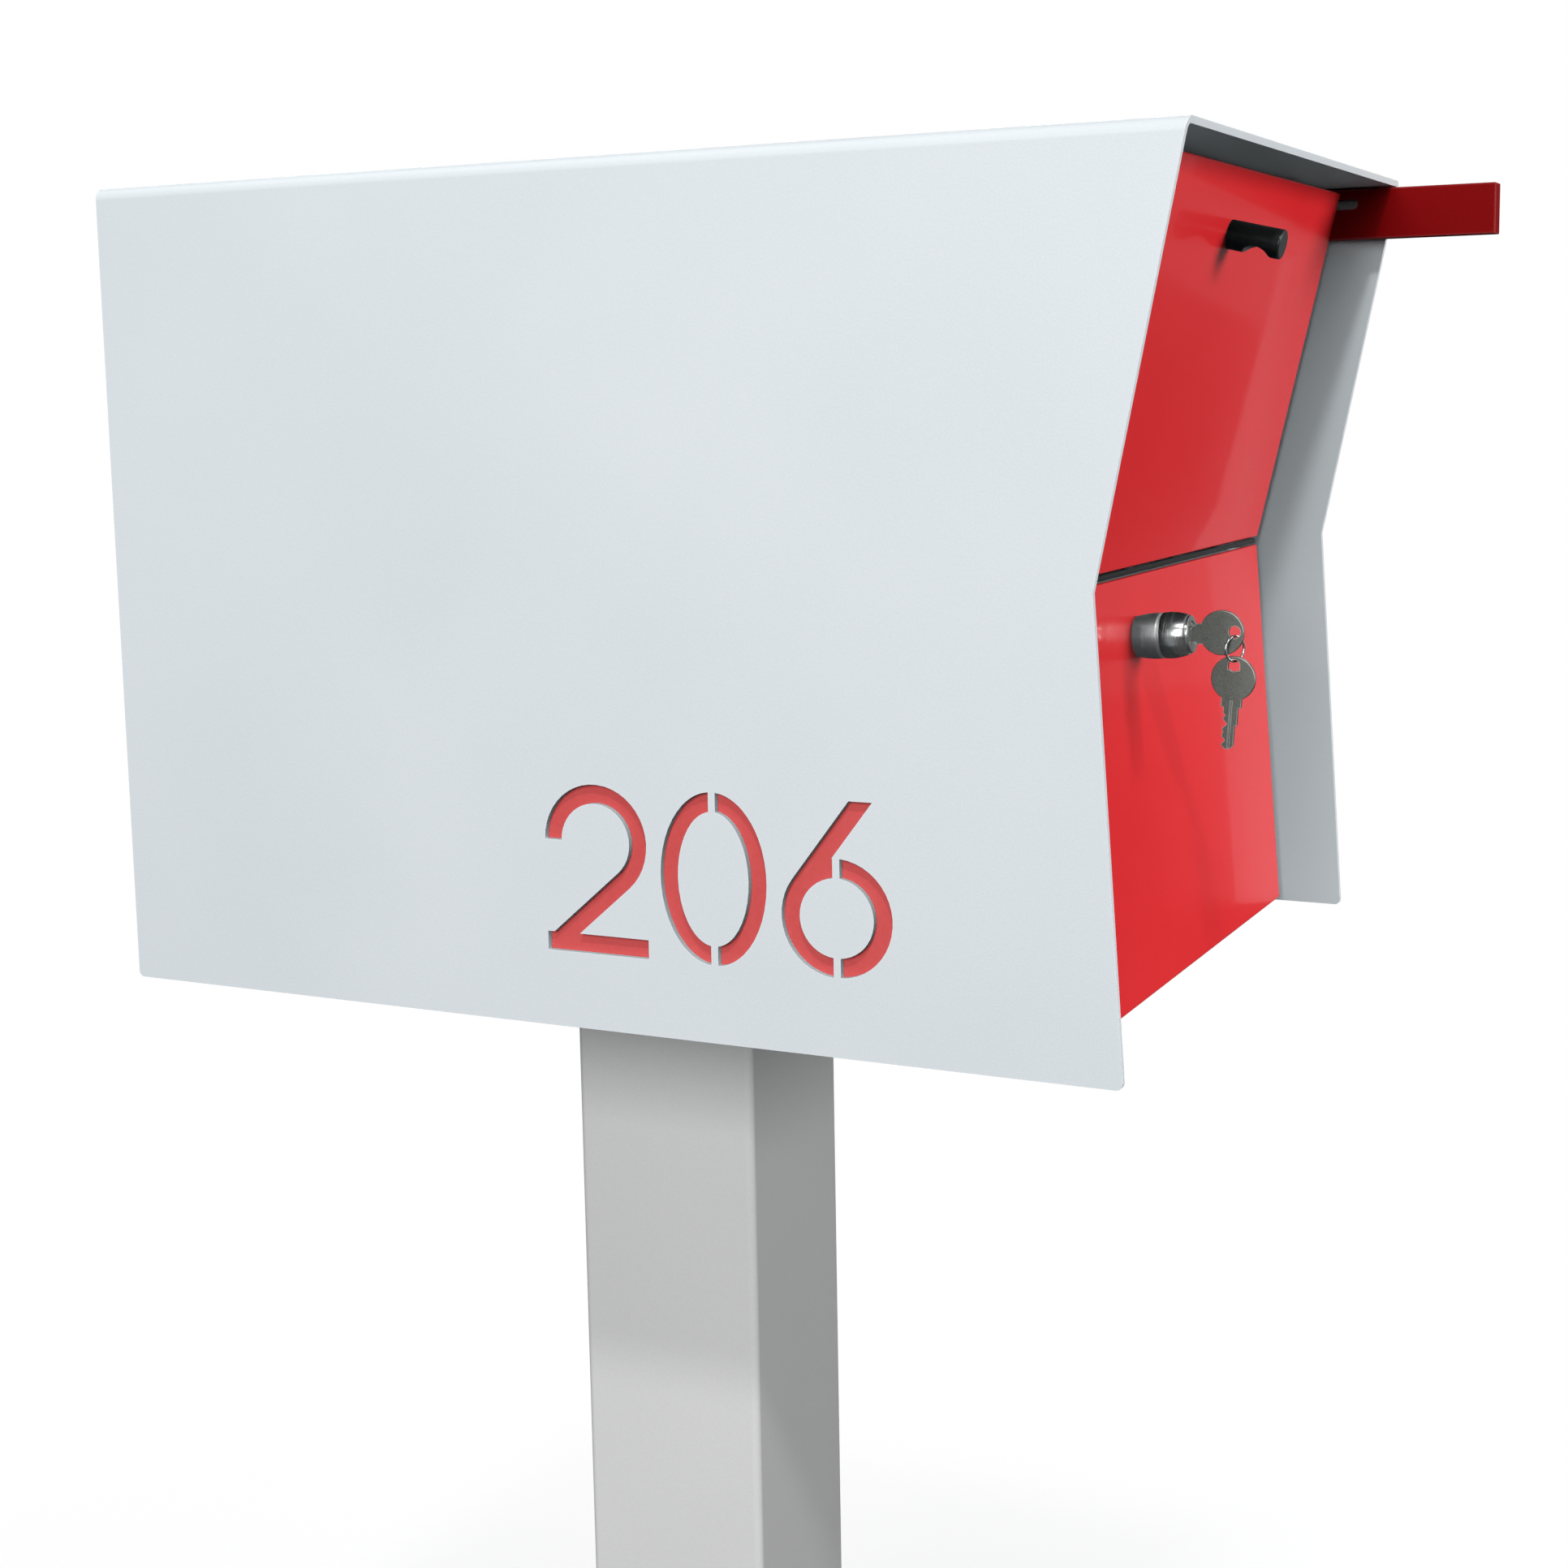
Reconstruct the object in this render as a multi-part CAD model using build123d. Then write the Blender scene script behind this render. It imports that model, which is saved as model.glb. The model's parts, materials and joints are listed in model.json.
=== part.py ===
"""Locking kerbside mailbox on a square post, millimetres, +Z up, front towards -Y.

The origin is the centre of the base plate's underside.
"""
from build123d import *
import os
from math import acos, asin, atan2, cos, degrees, hypot, radians, sin

# Post and its plates
post_side = 101.6
post_wall = 3.0
post_corner = 4.0
post_length = 885.0
base_overhang = 76.2
base_thick = 10.0
base_corner = 12.0
base_hole_gap = 50.8
base_hole_radius = 7.0
head_overhang = 25.2
head_thick = 6.0
head_corner = 6.0
head_hole_gap = 11.2
base_edge_chamfer = 1.0
mount_bolt_radius = 4.0
mount_hole_play = 0.3
mount_across = 13.0
mount_head_high = 5.3
mount_nut_thick = 6.5
mount_bolt_past_nut = 2.0
mount_washer_radius = 8.0
mount_washer_thick = 1.6

# Housing, with depths measured forward from its rear edge
shell_width = 380.0
shell_height = 385.0
shell_sheet = 3.0
bend_radius = 6.0
panel_corner = 3.0
roof_depth = 536.0
waist_depth = 498.0
foot_depth = 511.0
waist_height = 202.0
post_setback = 219.0
floor_rise = 8.0
floor_sheet = 2.0
floor_flange = 15.0
floor_flange_gap = 4.0
drain_radius = 3.0
drain_x = 120.0
drain_depths = (60.0, 400.0)
back_inset = 6.0
back_flange = 14.0

# Door planes, set back from the front edge of the side panels
roof_recess = 25.0
waist_recess = 31.0
foot_recess = 29.0
seam_height = 199.5
door_sheet = 2.0
door_return = 12.5
door_edge_radius = 1.2
door_top_gap = 3.0
door_bottom_rise = 5.0
swing_clear = 0.9
return_relief = 6.0
return_floor_gap = 1.0

# Door frame and shelf
frame_sheet = 2.0
frame_clear = 0.5
frame_overlap = 12.0
frame_flange = 14.0
header_drop = 28.0
waist_band = 12.0
rail_reach = 16.0
rail_flange_gap = 1.0
shelf_sheet = 1.5
shelf_rear_gap = 150.0
shelf_fall = 20.0
shelf_flange = 10.0
baffle_depth = 170.0
baffle_drop = 130.0
baffle_lean = 30.0
baffle_flange = 15.0
baffle_side_gap = 4.0

# Piano hinges
hinge_length = 328.0
hinge_knuckles = 9
pin_radius = 0.7
knuckle_radius = 1.4
knuckle_gap = 0.4
knuckle_clear = 0.15
pin_play = 0.05
leaf_thick = 0.8
leaf_reach = 12.0
rivet_radius = 1.6
rivet_head = 3.0
rivet_head_high = 1.0
rivet_count = 8
rivet_share = 0.6
rivet_tail_share = 0.8

# Magnetic catch, seal and pull knob
magnet_length = 32.0
magnet_high = 12.0
magnet_spacing = 200.0
magnet_drop = 14.0
magnet_corner = 1.0
strike_thick = 0.9
strike_gap = 0.1
seal_high = 4.0
seal_thick = 5.0
seal_roof_gap = 0.5
seal_side_gap = 4.0
knob_radius = 6.7
knob_length = 25.0
knob_edge = 0.8
knob_x = -12.0
knob_height = 350.0
scoop_radius = 7.5
scoop_depth = 3.8
scoop_share = 0.56
knob_screw_radius = 2.0
knob_screw_bite = 10.0
knob_screw_short = 1.0
knob_screw_head = 4.0
knob_screw_head_high = 2.4
knob_screw_slot = 0.9

# Cam lock and keys
lock_x = -42.0
lock_height = 169.0
lock_reach = 26.0
lock_belly = 10.5
lock_foot = 9.3
lock_rim = 8.6
collar_share = 0.48
groove_depth = 0.7
groove_width = 0.9
lock_swell = 0.25
rim_length = 1.6
rim_step = 0.5
rim_edge = 0.4
plug_recess = 0.5
body_radius = 8.0
plug_radius = 6.0
plug_play = 0.05
lock_nut_thick = 3.0
lock_nut_across = 21.0
cam_thick = 2.5
cam_reach = 26.0
cam_half_width = 6.0
cam_clear = 1.0
cam_boss_radius = 4.0
cam_screw_radius = 2.0
cam_screw_depth = 5.5
cam_screw_across = 10.0
cam_screw_head_high = 3.0
key_thick = 2.0
key_play = 0.1
blade_half_height = 3.6
blade_depth = 16.0
bow_radius = 10.2
bow_gap = 3.4
bow_neck_half = 4.6
bow_hole_radius = 2.8
bow_hole_offset = 6.0
bow_edge = 0.4
neck_share = 0.8
bitting = (1.2, 0.5, 1.5, 0.8)
ring_radius = 5.7
ring_wire = 0.55
ring_turn = 30.0
ring_rest = 0.4
spare_shank = 22.0
spare_shoulder = 5.0
spare_blade_share = 0.62
spare_step_share = 0.9
spare_step_length = 8.0
spare_tip = 1.6
spare_groove = 0.5
spare_tilt = -4.0
spare_hole_radius = 2.8
spare_slot_drop = 2.2

# Sliding signal flag
flag_thick = 12.7
flag_high = 25.4
flag_reach = 51.5
flag_travel = 50.0
flag_edge = 0.6
flag_roof_gap = 1.0
flag_slot_start = 18.0
flag_slot_rise = 5.2
flag_tail = 12.0
flag_stud_pitch = 35.0
flag_stud_radius = 2.5
flag_slot_play = 0.15
flag_washer_thick = 1.0
flag_washer_radius = 4.8
flag_stud_nut_across = 8.0
flag_stud_nut_thick = 5.0
flag_stud_past_nut = 1.0
flag_notch_gap = 1.0
flag_door_clear = 1.5

# Stencilled numerals in the left side panel
digit_high = 77.0
digit_wide = 52.0
digit_stroke = 8.6
digit_gap = 7.0
digit_bridge = 3.4
digit_base = 35.0
digit_front = 126.0
digit_tail = 0.2
digit_six_top = 0.45
backer_sheet = 1.5
backer_margin = 8.0
backer_stud_radius = 2.0
backer_stud_length = 8.0
backer_nut_across = 7.0
backer_nut_thick = 3.2

# Values that follow from the sizes above
base_side = post_side + 2 * base_overhang
base_hole_pitch = post_side + 2 * base_hole_gap
head_side = post_side + 2 * head_overhang
head_hole_pitch = post_side + 2 * head_hole_gap
rear_y = post_setback
box_z = base_thick + post_length + head_thick - floor_rise
inner_half = shell_width / 2 - shell_sheet
flag_space = flag_washer_thick + flag_thick + flag_door_clear
door_half = inner_half - flag_space
leaf_offset = knuckle_radius + knuckle_clear
frame_depth = door_return + frame_clear
rail_depth = frame_depth + frame_sheet
knee = Vector(0, rear_y - (waist_depth - waist_recess), box_z + seam_height)
roof_point = Vector(0, rear_y - (roof_depth - roof_recess), box_z + shell_height)
foot_point = Vector(0, rear_y - (foot_depth - foot_recess), box_z)
upper_lean = atan2(knee.Y - roof_point.Y, roof_point.Z - knee.Z)
lower_lean = atan2(knee.Y - foot_point.Y, knee.Z - foot_point.Z)
upper_out = Vector(0, -cos(upper_lean), -sin(upper_lean))
lower_out = Vector(0, -cos(lower_lean), sin(lower_lean))
upper_plane = Plane(origin=knee, x_dir=(1, 0, 0), z_dir=upper_out)
lower_plane = Plane(origin=foot_point, x_dir=(1, 0, 0), z_dir=lower_out)
upper_top = (shell_height - shell_sheet - door_top_gap - seam_height) / cos(upper_lean)
lower_top = (seam_height - leaf_offset - swing_clear) / cos(lower_lean)
lower_pivot_depth = door_sheet + leaf_offset
lower_pivot_rise = floor_rise - leaf_offset + lower_pivot_depth * sin(lower_lean)
lower_pivot = lower_plane.from_local_coords(
    Vector(0, lower_pivot_rise / cos(lower_lean), -lower_pivot_depth)
)


def span(x0, x1, y0, y1, z0, z1):
    """A box between two corners."""
    size = (abs(x1 - x0), abs(y1 - y0), abs(z1 - z0))
    return Pos((x0 + x1) / 2, (y0 + y1) / 2, (z0 + z1) / 2) * Box(*size)


def depth_y(depth):
    """The row's y at a depth forward of the housing's rear edge."""
    return rear_y - depth


def side_prism(points, x0, x1):
    """A prism along X over an outline given as (y, z) points."""
    outline = make_face(Polyline(*[(0, y, z) for y, z in points], close=True))
    return Pos(x0, 0, 0) * extrude(outline, amount=x1 - x0, dir=(1, 0, 0))


def washer(outer, inner, thick):
    """A flat ring standing on the XY plane."""
    ring = Cylinder(outer, thick) - Cylinder(inner, thick)
    return Pos(0, 0, thick / 2) * ring


def hex_head(across, thick):
    """A hexagon standing on the XY plane, with its outer corners eased."""
    flats = extrude(RegularPolygon(across / 2, 6, major_radius=False), amount=thick)
    dome = Pos(0, 0, thick / 2) * Cylinder(across * 0.56, thick)
    return flats & chamfer(dome.edges(), 0.12 * thick)


def hex_nut(across, inner, thick):
    """A hexagon nut standing on the XY plane."""
    return hex_head(across, thick) - Pos(0, 0, thick / 2) * Cylinder(inner, thick)


def rivet(grip):
    """A dome-head rivet along Z: the head's seat at z = grip, the tail's at 0."""
    dome_radius = (rivet_head**2 + rivet_head_high**2) / (2 * rivet_head_high)
    shank = Pos(0, 0, grip / 2) * Cylinder(rivet_radius, grip)
    head = Pos(0, 0, grip + rivet_head_high - dome_radius) * Sphere(dome_radius)
    head &= Pos(0, 0, grip + rivet_head_high) * Cylinder(rivet_head, 2 * rivet_head_high)
    tail = Pos(0, 0, -rivet_head_high / 2) * Cylinder(rivet_head * rivet_tail_share, rivet_head_high)
    return shank + head + tail


def rivet_places():
    """The x of each rivet along a piano hinge."""
    pitch = hinge_length / rivet_count
    return [(i - (rivet_count - 1) / 2) * pitch for i in range(rivet_count)]


def bolt_square(pitch):
    """The four corners of a square hole pattern."""
    return [(x * pitch / 2, y * pitch / 2) for x in (-1, 1) for y in (-1, 1)]


def door_line(depth, z_low, z_high):
    """Three (y, z) points of the folded door plane moved back by a depth."""
    corner = knee - (upper_out + lower_out) * (depth / (1 + upper_out.dot(lower_out)))
    high_y = corner.Y - (z_high - corner.Z) * sin(upper_lean) / cos(upper_lean)
    low_y = corner.Y - (corner.Z - z_low) * sin(lower_lean) / cos(lower_lean)
    return [(high_y, z_high), (corner.Y, corner.Z), (low_y, z_low)]


def fold_sheet(depth, thick, z_low, z_high, x0, x1):
    """A sheet that follows both door planes, its front face at a depth."""
    front = door_line(depth, z_low, z_high)
    rear = door_line(depth + thick, z_low, z_high)
    return side_prism(front + rear[::-1], x0, x1)


# Post

def base_plate():
    plate = extrude(RectangleRounded(base_side, base_side, base_corner), amount=base_thick)
    for x, y in bolt_square(base_hole_pitch):
        plate -= Pos(x, y, base_thick / 2) * Cylinder(base_hole_radius, base_thick)
    return chamfer(plate.faces().sort_by(Axis.Z)[-1].outer_wire().edges(), base_edge_chamfer)


def post_tube():
    outer = RectangleRounded(post_side, post_side, post_corner)
    hollow = post_side - 2 * post_wall
    inner = RectangleRounded(hollow, hollow, post_corner - post_wall)
    return Pos(0, 0, base_thick) * extrude(outer - inner, amount=post_length)


def head_plate():
    plate = extrude(RectangleRounded(head_side, head_side, head_corner), amount=head_thick)
    for x, y in bolt_square(head_hole_pitch):
        hole = Cylinder(mount_bolt_radius + mount_hole_play, head_thick)
        plate -= Pos(x, y, head_thick / 2) * hole
    return Pos(0, 0, base_thick + post_length) * plate


def mount_fasteners():
    """Bolts, washers and nuts that hold the floor pan on the head plate."""
    plate_low = base_thick + post_length
    nut_low = plate_low - mount_nut_thick
    floor_top = box_z + floor_rise + floor_sheet
    seat = floor_top + mount_washer_thick
    foot = nut_low - mount_bolt_past_nut
    ring = washer(mount_washer_radius, mount_bolt_radius, mount_washer_thick)
    nut = hex_nut(mount_across, mount_bolt_radius, mount_nut_thick)
    shank = Pos(0, 0, (seat + foot) / 2) * Cylinder(mount_bolt_radius, seat - foot)
    bolt = shank + Pos(0, 0, seat) * hex_head(mount_across, mount_head_high)
    corners = bolt_square(head_hole_pitch)
    washers = [Pos(x, y, floor_top) * ring for x, y in corners]
    bolts = [Pos(x, y, 0) * bolt for x, y in corners]
    nuts = [Pos(x, y, nut_low) * nut for x, y in corners]
    return washers, bolts, nuts


# Numerals

def digit_frame():
    return Pos(0, digit_high / 2) * Rectangle(digit_wide, digit_high)


def stroke_band(start, end):
    """A straight stroke between two centre-line points, square at its ends."""
    run = hypot(end[0] - start[0], end[1] - start[1])
    turn = degrees(atan2(end[1] - start[1], end[0] - start[0]))
    middle = Pos((start[0] + end[0]) / 2, (start[1] + end[1]) / 2)
    return middle * Rot(0, 0, turn) * Rectangle(run, digit_stroke)


def digit_two():
    outer = digit_wide / 2
    middle = outer - digit_stroke / 2
    centre_v = digit_high - outer
    start = (-outer, 0.0)
    distance = hypot(start[0], centre_v - start[1])
    heading = atan2(centre_v - start[1], -start[0]) - asin(middle / distance)
    touch = (middle * sin(heading), centre_v - middle * cos(heading))
    ring = Pos(0, centre_v) * (Circle(outer) - Circle(outer - digit_stroke))
    far = 2 * outer
    low = (touch[0] * far / middle, centre_v + (touch[1] - centre_v) * far / middle)
    wedge = make_face(
        Polyline((0, centre_v), low, (-far, centre_v - far), (-far, centre_v), close=True)
    )
    base = Pos(0, digit_stroke / 2) * Rectangle(digit_wide, digit_stroke)
    slope = (touch[0] - start[0], touch[1] - start[1])
    tail = (start[0] - digit_tail * slope[0], start[1] - digit_tail * slope[1])
    return (ring - wedge + stroke_band(tail, touch) + base) & digit_frame()


def digit_zero():
    outer = Ellipse(digit_wide / 2, digit_high / 2)
    inner = Ellipse(digit_wide / 2 - digit_stroke, digit_high / 2 - digit_stroke)
    return Pos(0, digit_high / 2) * (outer - inner - Rectangle(digit_bridge, digit_high + 1))


def digit_six():
    outer = digit_wide / 2
    middle = outer - digit_stroke / 2
    top = (outer * digit_six_top, digit_high)
    distance = hypot(top[0], top[1] - outer)
    touch_angle = atan2(top[1] - outer, top[0]) + acos(middle / distance)
    touch = (middle * cos(touch_angle), outer + middle * sin(touch_angle))
    slope = (top[0] - touch[0], top[1] - touch[1])
    past = (top[0] + digit_tail * slope[0], top[1] + digit_tail * slope[1])
    bowl = Circle(outer) - Circle(outer - digit_stroke)
    bowl -= Rectangle(digit_bridge, 2 * outer + 1)
    stem = stroke_band(touch, past) - Pos(0, outer) * Circle(outer - digit_stroke)
    return (Pos(0, outer) * bowl + stem) & digit_frame()


def digit_cuts():
    """Solids that cut the numerals through the left side panel."""
    cuts = []
    step = digit_wide + digit_gap
    for place, digit in enumerate((digit_two(), digit_zero(), digit_six())):
        depth = roof_depth - digit_front - (2 - place) * step - digit_wide / 2
        face = Plane(
            origin=(-shell_width / 2 - 1, depth_y(depth), box_z + digit_base),
            x_dir=(0, -1, 0),
            z_dir=(-1, 0, 0),
        )
        cuts.append(extrude(face * digit, amount=-(shell_sheet + 2)))
    return cuts


def backer_box(margin):
    """The (y, z) limits of the numerals, grown by a margin."""
    front = roof_depth - digit_front
    rear = front - 3 * digit_wide - 2 * digit_gap
    low = box_z + digit_base
    return (
        depth_y(front + margin),
        depth_y(rear - margin),
        low - margin,
        low + digit_high + margin,
    )


def backer_stud_points():
    inset = backer_margin / 2
    y0, y1, z0, z1 = backer_box(backer_margin - inset)
    return [(y, z) for y in (y0, y1) for z in (z0, z1)]


def number_backer():
    y0, y1, z0, z1 = backer_box(backer_margin)
    plate = span(-inner_half, -inner_half + backer_sheet, y0, y1, z0, z1)
    for y, z in backer_stud_points():
        hole = Rot(0, 90, 0) * Cylinder(backer_stud_radius, 2 * backer_sheet)
        plate -= Pos(-inner_half + backer_sheet / 2, y, z) * hole
    return plate


def backer_fasteners():
    """Weld studs on the panel and the nuts that hold the number backer."""
    studs, nuts = [], []
    for y, z in backer_stud_points():
        stud = Rot(0, 90, 0) * Cylinder(backer_stud_radius, backer_stud_length)
        studs.append(Pos(-inner_half + backer_stud_length / 2, y, z) * stud)
        nut = Rot(0, 90, 0) * hex_nut(backer_nut_across, backer_stud_radius, backer_nut_thick)
        nuts.append(Pos(-inner_half + backer_sheet, y, z) * nut)
    return studs, nuts


# Housing

def side_outline():
    """The side panel's outline with its two lower corners rounded."""
    points = [
        (depth_y(0), box_z),
        (depth_y(foot_depth), box_z),
        (depth_y(waist_depth), box_z + waist_height),
        (depth_y(roof_depth), box_z + shell_height),
        (depth_y(0), box_z + shell_height),
    ]
    prism = side_prism(points, -shell_width / 2, shell_width / 2)
    lower = prism.edges().filter_by(Axis.X).sort_by(Axis.Z)[:2]
    return fillet(lower, panel_corner)


def outer_shell():
    """Roof and both side panels, one sheet with two bends."""
    middle_y = depth_y(roof_depth / 2)
    outer = Pos(0, middle_y, box_z + shell_height / 2) * Box(shell_width, roof_depth, shell_height)
    outer = fillet(outer.edges().filter_by(Axis.Y).sort_by(Axis.Z)[-2:], bend_radius)
    low = shell_height - shell_sheet
    inner = Pos(0, middle_y, box_z + low / 2) * Box(2 * inner_half, roof_depth + 2, low)
    inner = fillet(inner.edges().filter_by(Axis.Y).sort_by(Axis.Z)[-2:], bend_radius - shell_sheet)
    shell = (outer & side_outline()) - inner
    for cut in digit_cuts():
        shell -= cut
    return shell


def floor_front():
    """The y of the floor pan's front edge, just behind the lower hinge."""
    return lower_pivot.Y + knuckle_radius + knuckle_gap


def floor_pan():
    z0 = box_z + floor_rise
    y0, y1 = floor_front(), depth_y(back_inset + floor_sheet)
    pan = span(-inner_half, inner_half, y0, y1, z0, z0 + floor_sheet)
    frame_rear = foot_point.Y + rail_depth + frame_flange + floor_flange_gap
    for side in (-1, 1):
        wall = (side * inner_half, side * (inner_half - floor_sheet))
        pan += span(*wall, frame_rear, y1, z0, z0 + floor_flange)
    for x, y in bolt_square(head_hole_pitch):
        hole = Cylinder(mount_bolt_radius + mount_hole_play, 4 * floor_sheet)
        pan -= Pos(x, y, z0) * hole
    for x in rivet_places():
        pan -= Pos(x, lower_pivot.Y + leaf_reach * rivet_share, z0) * Cylinder(rivet_radius, 4 * floor_sheet)
    for x in (-drain_x, drain_x):
        for depth in drain_depths:
            pan -= Pos(x, depth_y(depth), z0) * Cylinder(drain_radius, 4 * floor_sheet)
    return pan


def back_panel():
    """Rear sheet with forward flanges along the roof, the sides and the floor."""
    low = box_z + floor_rise
    high = box_z + shell_height - shell_sheet
    corner = bend_radius - shell_sheet
    y_out, y_in = depth_y(back_inset), depth_y(back_inset + floor_sheet)
    flange_end = y_in - back_flange
    block = span(-inner_half, inner_half, flange_end, y_out, low, high)
    block = fillet(block.edges().filter_by(Axis.Y).sort_by(Axis.Z)[-2:], corner)
    side = inner_half - floor_sheet
    hollow = span(-side, side, flange_end - 1, y_in, low - 1, high - floor_sheet)
    lower_cut = span(-inner_half - 1, inner_half + 1, flange_end - 1, y_in, low - 1, low + floor_flange)
    return block - hollow - lower_cut


def flag_notch():
    """Room for the flag bar where it passes the frame's right stile."""
    z_low = flag_zone()[0] - flag_notch_gap
    notch_x = inner_half - flag_space + flag_door_clear / 2
    return span(notch_x, inner_half + 1, knee.Y - 120, knee.Y + 60, z_low, box_z + shell_height)


def door_frame():
    """Folded sheet behind both doors, open where mail goes in and out."""
    low = box_z + floor_rise + floor_sheet
    high = box_z + shell_height - shell_sheet
    frame = fold_sheet(frame_depth, frame_sheet, low, high, -inner_half, inner_half)
    half = door_half - frame_overlap
    band_top = knee.Z - leaf_offset
    near, far = knee.Y - 100, knee.Y + 100
    frame -= span(-half, half, near, far, band_top, high - header_drop)
    frame -= span(-half, half, near, far, low - 1, band_top - waist_band)
    seam = span(-door_half, door_half, near, far, band_top, knee.Z + leaf_offset + 1)
    frame -= seam
    for side in (-1, 1):
        x0, x1 = sorted((side * (inner_half - frame_sheet), side * inner_half))
        frame += fold_sheet(rail_depth, frame_flange, low, high, x0, x1)
    tool = span(-inner_half, inner_half, near - 100, far, low, high)
    tool = fillet(tool.edges().filter_by(Axis.Y).sort_by(Axis.Z)[-2:], bend_radius - shell_sheet)
    return (frame & tool) - flag_notch()


def rail_flange_front():
    return knee.Y + rail_depth + rail_flange_gap


def waist_rail():
    """Angle behind the waist band, its top flange under the upper hinge's fixed leaf."""
    top = knee.Z - leaf_offset
    z0 = top - waist_band
    band = fold_sheet(rail_depth, frame_sheet, z0, knee.Z, -door_half, door_half)
    band &= span(-door_half, door_half, knee.Y - 50, knee.Y + 90, z0, top)
    y0 = rail_flange_front()
    flange = span(-door_half, door_half, y0, y0 + rail_reach, top - frame_sheet, top)
    rail = band + flange
    for x in rivet_places():
        hole = Cylinder(rivet_radius, 4 * frame_sheet)
        rail -= Pos(x, y0 + rail_reach * rivet_share, top) * hole
    return rail


def mail_shelf():
    """Sloping shelf between the two compartments, open at the rear for the drop."""
    y0 = rail_flange_front() + rail_reach
    y1 = depth_y(shelf_rear_gap)
    z0 = knee.Z - leaf_offset - frame_sheet
    z1 = z0 - shelf_fall
    points = [(y0, z0), (y1, z1), (y1, z1 + shelf_sheet), (y0, z0 + shelf_sheet)]
    shelf = side_prism(points, -inner_half, inner_half)
    flange = [(y0, z0), (y1, z1), (y1, z1 + shelf_flange), (y0, z0 + shelf_flange)]
    for side in (-1, 1):
        x0, x1 = sorted((side * (inner_half - shelf_sheet), side * inner_half))
        shelf += side_prism(flange, x0, x1)
    return shelf


def drop_baffle():
    """Leaning plate under the roof that keeps hands out of the drop."""
    high = box_z + shell_height - shell_sheet
    half = inner_half - baffle_side_gap
    y0 = depth_y(baffle_depth)
    y1 = y0 + baffle_lean
    low = high - baffle_drop
    points = [(y0, high), (y1, low), (y1 + shelf_sheet, low), (y0 + shelf_sheet, high)]
    plate = side_prism(points, -half, half)
    return plate + span(-half, half, y0, y0 + baffle_flange, high - shelf_sheet, high)


# Hinges: the pin lies on X through the origin, the leaf reaches along +Y

def knuckle_spans(moving):
    pitch = hinge_length / hinge_knuckles
    spans = []
    for i in range(hinge_knuckles):
        if (i % 2 == 1) == moving:
            start = -hinge_length / 2 + i * pitch
            spans.append((start + knuckle_gap / 2, start + pitch - knuckle_gap / 2))
    return spans


def hinge_leaf(reach, moving, rivet_y=None):
    """A leaf whose outer face is leaf_offset below the pin."""
    start = knuckle_radius + knuckle_gap
    low, high = -leaf_offset, -leaf_offset + leaf_thick
    half = hinge_length / 2
    leaf = span(-half, half, start, reach, low, high)
    for x0, x1 in knuckle_spans(moving):
        tube = Pos((x0 + x1) / 2, 0, 0) * Rot(0, 90, 0) * Cylinder(knuckle_radius, x1 - x0)
        leaf += tube + span(x0, x1, 0, start, low, high)
    bore = pin_radius + (pin_play if moving else 0)
    leaf -= Rot(0, 90, 0) * Cylinder(bore, hinge_length)
    if rivet_y is not None:
        for x in rivet_places():
            leaf -= Pos(x, rivet_y, low) * Cylinder(rivet_radius, 4 * leaf_thick)
    return leaf


def hinge_pin():
    return Rot(0, 90, 0) * Cylinder(pin_radius, hinge_length)


upper_fixed_place = Plane(origin=knee, x_dir=(1, 0, 0), z_dir=(0, 0, 1))
upper_moving_place = Plane(origin=knee, x_dir=(-1, 0, 0), z_dir=-upper_plane.y_dir)
lower_fixed_place = Plane(origin=lower_pivot, x_dir=(-1, 0, 0), z_dir=(0, 0, -1))
lower_moving_place = Plane(origin=lower_pivot, x_dir=(-1, 0, 0), z_dir=-lower_out)


def upper_hinge():
    """Fixed leaf, moving leaf, pin and both rivet rows of the upper door."""
    fixed_rivet_y = rail_flange_front() - knee.Y + rail_reach * rivet_share
    fixed_reach = rail_flange_front() - knee.Y + rail_reach
    moving_rivet_y = leaf_reach * rivet_share
    fixed = upper_fixed_place * hinge_leaf(fixed_reach, False, fixed_rivet_y)
    moving = upper_moving_place * hinge_leaf(leaf_reach, True, moving_rivet_y)
    pin = upper_fixed_place * hinge_pin()
    low = -leaf_offset - frame_sheet
    fixed_rivets = [
        upper_fixed_place * Pos(x, fixed_rivet_y, low) * rivet(frame_sheet + leaf_thick)
        for x in rivet_places()
    ]
    grip = door_sheet + leaf_thick
    moving_rivets = [
        upper_moving_place * Pos(x, moving_rivet_y, -leaf_offset - door_sheet) * rivet(grip)
        for x in rivet_places()
    ]
    return fixed, moving, pin, fixed_rivets, moving_rivets


def lower_hinge():
    """Fixed leaf, moving leaf, pin and the floor rivets of the lower door."""
    rivet_y = leaf_reach * rivet_share
    fixed = lower_fixed_place * hinge_leaf(leaf_reach, False, rivet_y)
    moving = lower_moving_place * hinge_leaf(leaf_reach, True)
    pin = lower_fixed_place * hinge_pin()
    grip = floor_sheet + leaf_thick
    rivets = [
        lower_fixed_place * Pos(x, rivet_y, -leaf_offset - floor_sheet) * rivet(grip)
        for x in rivet_places()
    ]
    return fixed, moving, pin, rivets


# Doors, in their own planes: y up the door, z out of its face

def door_tray(low, high):
    """A shallow folded tray, open along its top, its outer edges rounded."""
    block = span(-door_half, door_half, low, high, -door_return, 0)
    block = fillet(block.faces().sort_by(Axis.Z)[-1].edges(), door_edge_radius)
    half = door_half - door_sheet
    block -= span(-half, half, low + door_sheet, high + 1, -door_return, -door_sheet)
    relief = high - return_relief
    return block - span(-door_half, door_half, relief, high + 1, -door_return, -door_sheet)


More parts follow.
